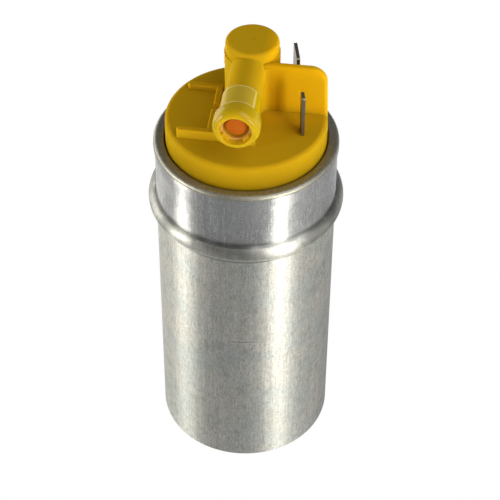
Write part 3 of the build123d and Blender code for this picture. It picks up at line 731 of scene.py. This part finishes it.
def amber_moulding(tree, shader):
    """Amber plastic of the outlet cap: satin on the face, glossy and clearer on the nozzle."""
    cap = bpy.context.scene.pump_cap
    skin = placed(tree, moulded_skin, Grain_size=900.0, Flow_size=70.0)
    mouth = past(tree, "-Y", cap.nozzle_start, 0.6 * MM)
    upper = past(tree, "Z", cap_high.z - cap.nozzle_drop, 0.5 * MM)
    nozzle = product(tree, mouth, upper)
    foot = past(tree, "Z", can_high.z - 0.5 * MM, cap.shade_height)
    # Painted reflection of a softbox, outlined on the nozzle's band.
    line = window_highlight(tree, cap)
    tone = layered(
        tree, cap.amber_deep,
        (skin["Flow"], cap.amber),
        (product(tree, nozzle, 0.8), cap.amber_clear),
        # Painted glow of light passing through the thin divider.
        (product(tree, divider(tree, cap), 0.42), cap.painted_glow),
        (spread(tree, foot, 0.82, 0.0), darker(cap.amber_deep, 0.45)),
        (product(tree, line, 0.42), cap.highlight_colour),
    )
    radius, level = cap.bore_radius, cap.nozzle_level
    bore = placed(tree, near_axis, Level=level, Radius=radius, Soft=0.4 * MM)
    lit = product(tree, bore["Mask"], mouth)
    feed(tree, shader, {
        "Base Color": tone,
        "Roughness": spread(tree, skin["Flow"], cap.rough * 0.85, cap.rough * 1.2),
        "Coat Weight": product(tree, nozzle, cap.coat),
        "Coat Roughness": cap.nozzle_rough,
        "Emission Color": tinted(tree, lit, (0, 0, 0), cap.bore_colour),
        "Emission Strength": cap.bore_light,
        "Specular IOR Level": cap.shine,
        "Subsurface Weight": cap.glow,
        "Subsurface Radius": (1.0, 0.60, 0.05),
        "Subsurface Scale": cap.glow_depth,
    })
    raised(tree, shader, skin["Grain"], 0.10, 0.02 * MM)


def divider(tree, cap):
    """1 in the thin divider on the right, where a glow of light passing through is painted."""
    right = past(tree, "X", cap.thin_start, 2.5 * MM)
    back = past(tree, "Y", -4.0 * MM, 3.0 * MM)
    risen = past(tree, "Z", cap.thin_level, 3.0 * MM)
    return product(tree, right, back, risen)


def window_highlight(tree, cap):
    """Painted reflection of a softbox on the nozzle's band: its pale outline and the faint fill
    inside it.
    """
    half, soft = cap.line_width / 2, 0.2 * MM
    outer = between(tree, "Y", -cap.line_front - half, -cap.line_back + half, soft)
    inner = between(tree, "Y", -cap.line_front + half, -cap.line_back - half, soft)
    wide = past(tree, "-X", -cap.line_side - half, soft)
    narrow = past(tree, "-X", -cap.line_side + half, soft)
    top = past(tree, "Z", cap_high.z - 4.0 * MM, 1.0 * MM)
    outer = product(tree, outer, wide)
    inner = product(tree, inner, narrow, 0.86)
    return product(tree, reckoned(tree, "SUBTRACT", outer, inner), top)


def tin_plate(tree, shader):
    """Tin on the blades, a little tarnished, with stamping lines along them."""
    metal(tree, shader, (0.39, 0.345, 0.275), 0.34, around=900.0, along=40.0, worn=0.40)


def washer_plate(tree, shader):
    """Yellow zinc on the retaining washer in the mouth."""
    metal(tree, shader, (0.90, 0.62, 0.16), 0.65, around=40.0, along=300.0, worn=0.90)


def cast_aluminium(tree, shader):
    """Die-cast pump parts with a faint grain and turned running faces."""
    metal(tree, shader, (0.50, 0.50, 0.50), 0.42, around=30.0, along=300.0, worn=0.86)


def electrical_sheet(tree, shader):
    """Laminations, dark at their cut edges."""
    metal(tree, shader, (0.30, 0.31, 0.33), 0.40, around=120.0, along=900.0, worn=0.75)


def spring_wire(tree, shader):
    """Drawn spring steel."""
    metal(tree, shader, (0.50, 0.50, 0.52), 0.28, around=80.0, along=500.0, worn=0.85)


def ground_steel(tree, shader):
    """Ground steel of the shaft and the relief ball."""
    metal(tree, shader, (0.56, 0.56, 0.57), 0.20, around=3.0, along=2400.0, worn=0.9)


def zinc_plate(tree, shader):
    """Zinc on the flux ring."""
    metal(tree, shader, (0.52, 0.53, 0.52), 0.36, around=20.0, along=60.0, worn=0.85)


def bare_copper(tree, shader):
    """Turned copper of the commutator and the leads."""
    metal(tree, shader, (0.72, 0.33, 0.17), 0.30, around=5.0, along=1500.0, worn=0.8)


def enamelled_wire(tree, shader):
    """Copper under clear enamel."""
    metal(tree, shader, (0.55, 0.17, 0.05), 0.32, around=150.0, along=500.0, worn=0.75)
    feed(tree, shader, {"Coat Weight": 0.6, "Coat Roughness": 0.1})


def sintered_bronze(tree, shader):
    """Porous bush metal."""
    metal(tree, shader, (0.42, 0.30, 0.16), 0.46, around=400.0, along=900.0, worn=0.75)


def turned_brass(tree, shader):
    """Turned brass of the relief seat."""
    metal(tree, shader, (0.70, 0.52, 0.22), 0.28, around=4.0, along=1800.0, worn=0.85)


def black_moulding(tree, shader):
    """Glass-filled black plastic of the brush holder."""
    plastic(tree, shader, (0.022, 0.022, 0.023), 0.42)


def brown_phenolic(tree, shader):
    """Phenolic of the commutator hub."""
    plastic(tree, shader, (0.055, 0.022, 0.012), 0.38)


def dark_phenolic(tree, shader):
    """Phenolic of the impeller, ground flat on both faces."""
    plastic(tree, shader, (0.030, 0.027, 0.026), 0.36)


def pressed_carbon(tree, shader):
    """Carbon of the brushes and the lower bush."""
    plastic(tree, shader, (0.018, 0.018, 0.020), 0.55, flow=0.7)


def sintered_ferrite(tree, shader):
    """Ferrite of the magnets and choke cores."""
    plastic(tree, shader, (0.040, 0.038, 0.038), 0.62, flow=0.75, grain_depth=0.02 * MM)


def natural_moulding(tree, shader):
    """Uncoloured plastic of the valve poppet."""
    plastic(tree, shader, (0.62, 0.56, 0.42), 0.34)


def hard_plastic(tree, shader):
    """Hard bearing plastic of the thrust parts."""
    plastic(tree, shader, (0.50, 0.40, 0.24), 0.36)


def orange_moulding(tree, shader):
    """Orange plastic of the valve guide."""
    plastic(tree, shader, (0.46, 0.105, 0.001), 0.34)
    feed(tree, shader, {"Specular IOR Level": 0.15})


def black_rubber(tree, shader):
    """Rubber of the cap seal."""
    plastic(tree, shader, (0.012, 0.012, 0.012), 0.60)


# Pieces


def skin_of(node, maker, edge=0.0):
    """Mesh of a CAD node with a finish, its doubles merged, its edges softened and flats kept."""
    mesh = cad_nodes[node].data.copy()
    shape = bmesh.new()
    shape.from_mesh(mesh)
    bmesh.ops.remove_doubles(shape, verts=shape.verts, dist=MERGE)
    bmesh.ops.dissolve_limit(
        shape, angle_limit=math.radians(0.4), verts=shape.verts, edges=shape.edges
    )
    shape.to_mesh(mesh)
    shape.free()
    soften(mesh, bpy.context.scene.pump_cap.crease)
    mesh.materials.clear()
    mesh.materials.append(finish(maker))
    holder = linked(node + "_copy", mesh)
    if edge:
        bevel = holder.modifiers.new("edge", "BEVEL")
        bevel.width = edge
        bevel.segments = 3
        bevel.limit_method = "ANGLE"
        bevel.angle_limit = math.radians(40)
        bevel.use_clamp_overlap = True
    flats = holder.modifiers.new("flats", "WEIGHTED_NORMAL")
    flats.keep_sharp = True
    flats.weight = 80
    return baked(holder, node + "_skin")


def dress(node, maker, edge=0.0):
    """Gives a rigid CAD node a softened skin with its finish."""
    keep(skin_of(node, maker, edge), node + "_skin", node)


def laminated(node, maker):
    """Stack of thin sheets, each in the outline of a CAD node."""
    inside = bpy.context.scene.pump_inside
    low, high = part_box(node)
    tall = high.z - low.z
    count = round(tall / inside.sheet)
    pitch = (tall + inside.sheet_gap) / count
    flat = Matrix.Diagonal((1, 1, (pitch - inside.sheet_gap) / tall, 1))
    sheet = skin_of(node, maker)
    sheet.transform(Matrix.Translation((0, 0, low.z)) @ flat @ Matrix.Translation((0, 0, -low.z)))
    mesh = grown(stack_tree, sheet, finish(maker), Count=count, Pitch=pitch)
    keep(mesh, node + "_sheets", node)


def soft_lead(node, maker):
    """Lead dressed in place as one still piece, tied to no body."""
    piece = linked(node + "_skin", skin_of(node, maker))
    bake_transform(piece)
    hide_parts(node)


def wound_piece(node, maker, wire, turns, axis="Z"):
    """Round wire coil that fills a CAD node's box, along Z or along the nozzle."""
    low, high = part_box(node)
    long = high.z - low.z if axis == "Z" else high.y - low.y
    mesh = grown(
        wound_tree, bpy.data.meshes.new("wire"), finish(maker), Turns=turns,
        Radius=(high.x - low.x - wire) / 2, Height=long - wire, Wire=wire,
        Steps=bpy.context.scene.pump_inside.ring_steps
    )
    middle = (low + high) / 2
    if axis == "Z":
        place = Matrix.Translation((middle.x, middle.y, low.z + wire / 2))
    else:
        start = Matrix.Translation((middle.x, high.y - wire / 2, middle.z))
        place = start @ Matrix.Rotation(math.radians(90), 4, "X")
    mesh.transform(place)
    mesh.shade_smooth()
    return keep(mesh, node + "_wire", node)


# Operators


class PUMP_OT_can(bpy.types.Operator):
    """Make the drawn can with its bead and crimped ends."""

    bl_idname = "pump.make_can"
    bl_label = "Can"

    def execute(self, context):
        can = context.scene.pump_can
        mesh = grown(
            turned_tree, outline_mesh("can outline", can_outline(can)), finish(drawn_aluminium),
            Radius=can.radius, Steps=can.steps
        )
        outward(mesh)
        soften(mesh, can.crease)
        keep(mesh, "can_shell", "housing_can")
        mesh.materials.append(finish(rolled_aluminium))
        mesh.materials.append(finish(crimped_aluminium))
        band = can.bead_level + can.bead_half * 0.9
        for face in mesh.polygons:
            if face.center.z > can.height - can.lip_depth:
                face.material_index = 2
            elif face.center.z > band:
                face.material_index = 1
        return {"FINISHED"}


def can_outline(can):
    """Closed outline of the can's wall: X from the plain can's radius, Y down for the sweep."""
    radius, corner, top = can.radius, can.corner, can.height
    inner = radius - can.wall
    stand = can_high.x - radius
    rim = radius + can.swell
    half = can.bead_half
    bead = (half ** 2 + stand ** 2) / (2 * stand)
    open_angle = math.degrees(math.asin(half / bead))
    lip = can.wall * 0.3
    points = [(can.foot_inner, 0)]
    points += arc(radius - corner, corner, corner, -90, 0, 8)
    points += arc(radius + stand - bead, can.bead_level, bead, -open_angle, open_angle, 24)
    root = can.bead_root
    points += [(radius, can.bead_level + half + root), (radius, top - 4 * corner)]
    points += [(radius + can.swell * 0.5, top - 3 * corner), (rim, top - 2 * corner)]
    points += arc(rim - corner, top - corner, corner, 0, 90, 8)
    points += arc(can.lip_inner + lip, top - lip, lip, 90, 180, 4)
    points += [(can.lip_inner, top - can.wall), (inner, top - can.wall)]
    points += arc(inner, can.bead_level, stand, 90, -90, 16)
    points += [(inner, can.wall), (can.foot_inner, can.wall)]
    return [(x - radius, -y) for x, y in points]


def outward(mesh):
    """Merges a mesh's doubles and turns its faces outwards."""
    shape = bmesh.new()
    shape.from_mesh(mesh)
    bmesh.ops.remove_doubles(shape, verts=shape.verts, dist=MERGE / 2)
    bmesh.ops.recalc_face_normals(shape, faces=shape.faces)
    shape.to_mesh(mesh)
    shape.free()


class PUMP_OT_cap(bpy.types.Operator):
    """Dress the moulded outlet cap and its seal."""

    bl_idname = "pump.make_cap"
    bl_label = "Outlet cap"

    def execute(self, context):
        dress("outlet_cap", amber_moulding, context.scene.pump_cap.edge)
        dress("cap_seal", black_rubber)
        return {"FINISHED"}


class PUMP_OT_blades(bpy.types.Operator):
    """Dress the two terminals with rounded stamped edges."""

    bl_idname = "pump.make_blades"
    bl_label = "Terminals"

    def execute(self, context):
        for end in ("front", "back"):
            dress(f"terminal_{end}", tin_plate, context.scene.pump_cap.blade_edge)
        return {"FINISHED"}


class PUMP_OT_valve(bpy.types.Operator):
    """Make the check valve in the nozzle: poppet, spring, guide and washer."""

    bl_idname = "pump.make_valve"
    bl_label = "Check valve"

    def execute(self, context):
        inside = context.scene.pump_inside
        dress("check_poppet", natural_moulding)
        dress("valve_guide", orange_moulding)
        dress("retaining_washer", washer_plate)
        wire, turns = inside.valve_wire, inside.valve_turns
        spring = wound_piece("check_spring", spring_wire, wire, turns, axis="Y")
        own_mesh(spring)
        return {"FINISHED"}


class PUMP_OT_brush_gear(bpy.types.Operator):
    """Make the brush holder, brushes, springs, leads and chokes."""

    bl_idname = "pump.make_brush_gear"
    bl_label = "Brush gear"

    def execute(self, context):
        inside = context.scene.pump_inside
        dress("brush_holder", black_moulding)
        dress("upper_bearing", sintered_bronze)
        for side in ("right", "left"):
            dress(f"brush_{side}", pressed_carbon)
            node = f"brush_spring_{side}"
            spring = wound_piece(node, spring_wire, inside.brush_wire, inside.brush_turns)
            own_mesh(spring)
            soft_lead(f"brush_lead_{side}", bare_copper)
        for end in ("front", "back"):
            dress(f"choke_core_{end}", sintered_ferrite)
            wound_piece(f"choke_coil_{end}", enamelled_wire, inside.choke_wire, inside.choke_turns)
        return {"FINISHED"}


class PUMP_OT_rotor(bpy.types.Operator):
    """Make the armature, commutator, shaft and impeller."""

    bl_idname = "pump.make_rotor"
    bl_label = "Rotor"

    def execute(self, context):
        dress("shaft", ground_steel)
        dress("thrust_washer", hard_plastic)
        dress("commutator_hub", brown_phenolic)
        dress("commutator_segments", bare_copper)
        laminated("armature_core", electrical_sheet)
        dress("armature_winding", enamelled_wire)
        dress("impeller", dark_phenolic)
        return {"FINISHED"}


class PUMP_OT_magnets(bpy.types.Operator):
    """Dress the flux ring, the magnets and their clips."""

    bl_idname = "pump.make_magnets"
    bl_label = "Magnets"

    def execute(self, context):
        dress("flux_ring", zinc_plate)
        for side in ("right", "left"):
            dress(f"magnet_{side}", sintered_ferrite)
        for end in ("front", "back"):
            dress(f"magnet_clip_{end}", spring_wire)
        return {"FINISHED"}


class PUMP_OT_pump_end(bpy.types.Operator):
    """Dress the pump casing, the inlet cover and the relief valve."""

    bl_idname = "pump.make_pump_end"
    bl_label = "Pump end"

    def execute(self, context):
        inside = context.scene.pump_inside
        dress("pump_casing", cast_aluminium)
        dress("inlet_cover", cast_aluminium)
        dress("lower_bearing", pressed_carbon)
        dress("thrust_button", hard_plastic)
        dress("relief_seat", turned_brass)
        dress("relief_ball", ground_steel)
        spring = wound_piece("relief_spring", spring_wire, inside.relief_wire, inside.relief_turns)
        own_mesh(spring)
        return {"FINISHED"}


class PUMP_OT_stage(bpy.types.Operator):
    """Set the floor, the sky, the lamps and the camera."""

    bl_idname = "pump.set_stage"
    bl_label = "Stage"

    def execute(self, context):
        stage = context.scene.pump_stage
        context.scene.view_settings.view_transform = "Standard"
        lay_floor(stage)
        pale_sky(stage)
        scrim = stage.scrim_width
        soft_lamp(stage, "right softbox", stage.right_turn, stage.right_width, stage.right)
        soft_lamp(stage, "left softbox", stage.left_turn, stage.left_width, stage.left)
        soft_lamp(stage, "right scrim", stage.right_scrim_turn, scrim, stage.right_scrim)
        soft_lamp(stage, "left scrim", stage.left_scrim_turn, scrim, stage.left_scrim)
        top_lamp(stage)
        stand_camera(stage)
        return {"FINISHED"}


def bright_to_mirrors(tree, surface, white, mirror):
    """Mixes a shader with plain white for the camera and, weaker, for mirrors and glass."""
    path = added(tree, "ShaderNodeLightPath").outputs
    mirrored = reckoned(tree, "MAXIMUM", path["Is Glossy Ray"], path["Is Transmission Ray"])
    seen = reckoned(tree, "MAXIMUM", path["Is Camera Ray"], mirrored)
    level = added(tree, "ShaderNodeMix", {0: mirrored, 2: white, 3: mirror})
    plain = added(tree, "ShaderNodeEmission", {"Strength": level.outputs[0]})
    mix = added(tree, "ShaderNodeMixShader", {"Fac": seen, 1: surface, 2: plain.outputs[0]})
    return mix.outputs[0]


def pale_floor(tree, shader):
    """Floor that is white to the camera and, but for its back, dimmer to mirrors."""
    stage = bpy.context.scene.pump_stage
    feed(tree, shader, {"Base Color": (0.9, 0.9, 0.9, 1.0), "Roughness": 0.9})
    behind = past(tree, "Y", stage.back_start, stage.back_soft)
    mirrored = spread(tree, behind, stage.mirror_white, stage.mirror_back)
    surface = bright_to_mirrors(tree, shader.outputs[0], stage.white, mirrored)
    feed(tree, tree.nodes["Material Output"], {"Surface": surface})


def lay_floor(stage):
    """Wide floor just under the pump."""
    mesh = bpy.data.meshes.new("floor")
    reach, level = stage.floor_reach, -stage.floor_gap
    corners = [(x * reach, y * reach, level) for x, y in ((-1, -1), (1, -1), (1, 1), (-1, 1))]
    mesh.from_pydata(corners, [], [(0, 1, 2, 3)])
    mesh.materials.append(finish(pale_floor))
    linked("floor", mesh)


def pale_sky(stage):
    """White sky that lights the pump softly."""
    world = bpy.data.worlds.new("pale sky")
    world.use_nodes = True
    tree = world.node_tree
    sky = tree.nodes["Background"]
    feed(tree, sky, {"Color": (1.0, 1.0, 1.0, 1.0), "Strength": stage.sky})
    surface = bright_to_mirrors(tree, sky.outputs[0], stage.white, stage.mirror_sky)
    feed(tree, tree.nodes["World Output"], {"Surface": surface})
    bpy.context.scene.world = world


def soft_lamp(stage, name, turn, width, power):
    """Softbox or scrim that stands beside the pump, turned from -Y towards +X."""
    data = bpy.data.lights.new(name, "AREA")
    data.shape = "RECTANGLE"
    data.size = width
    data.size_y = stage.box_height
    data.energy = power
    data.color = stage.warm
    place = Vector((math.sin(turn) * stage.away, -math.cos(turn) * stage.away, stage.box_level))
    hang(data, place, Vector((0, 0, can_high.z * 0.7)))


def top_lamp(stage):
    """Broad softbox above the pump, to its right."""
    data = bpy.data.lights.new("top softbox", "AREA")
    data.size = stage.top_width
    data.energy = stage.top
    hang(data, Vector(stage.top_place), Vector((0, 0, can_high.z)))


def hang(data, place, target):
    """Puts a lamp at a place, aimed at a point and unseen by the camera."""
    lamp = linked(data.name, data)
    lamp.location = place
    lamp.rotation_euler = (target - place).to_track_quat("-Z", "Y").to_euler()
    lamp.visible_camera = False


def stand_camera(stage):
    """Camera at the photographed angle."""
    data = bpy.data.cameras.new("camera")
    data.sensor_width = 36.0
    data.lens = stage.lens
    data.clip_start = 0.01
    data.clip_end = 20.0
    camera = linked("camera", data)
    turn = Matrix.Rotation(stage.turn, 4, "Z")
    tilt = Matrix.Rotation(math.pi / 2 - stage.tilt, 4, "X")
    roll = Matrix.Rotation(stage.roll, 4, "Z")
    camera.matrix_world = Matrix.Translation(stage.eye) @ turn @ tilt @ roll
    bpy.context.scene.camera = camera


class PUMP_PT_panel(bpy.types.Panel):
    """Buttons that build the pump, piece by piece."""

    bl_idname = "PUMP_PT_panel"
    bl_label = "Fuel Pump"
    bl_space_type = "VIEW_3D"
    bl_region_type = "UI"
    bl_category = "Fuel Pump"

    def draw(self, context):
        for maker in OPERATORS:
            self.layout.operator(maker.bl_idname)


SETTINGS = {
    "pump_can": CanSettings,
    "pump_cap": CapSettings,
    "pump_inside": InsideSettings,
    "pump_stage": StageSettings,
}
OPERATORS = (
    PUMP_OT_can,
    PUMP_OT_cap,
    PUMP_OT_blades,
    PUMP_OT_valve,
    PUMP_OT_brush_gear,
    PUMP_OT_rotor,
    PUMP_OT_magnets,
    PUMP_OT_pump_end,
    PUMP_OT_stage,
)


def register():
    for name, settings in SETTINGS.items():
        bpy.utils.register_class(settings)
        setattr(bpy.types.Scene, name, bpy.props.PointerProperty(type=settings))
    for maker in OPERATORS:
        bpy.utils.register_class(maker)
    bpy.utils.register_class(PUMP_PT_panel)


def unregister():
    bpy.utils.unregister_class(PUMP_PT_panel)
    for maker in reversed(OPERATORS):
        bpy.utils.unregister_class(maker)
    for name, settings in reversed(SETTINGS.items()):
        delattr(bpy.types.Scene, name)
        bpy.utils.unregister_class(settings)


def main():
    """Build every piece in order."""
    register()
    for maker in OPERATORS:
        group, action = maker.bl_idname.split(".")
        getattr(getattr(bpy.ops, group), action)()


if __name__ == "__main__":
    main()
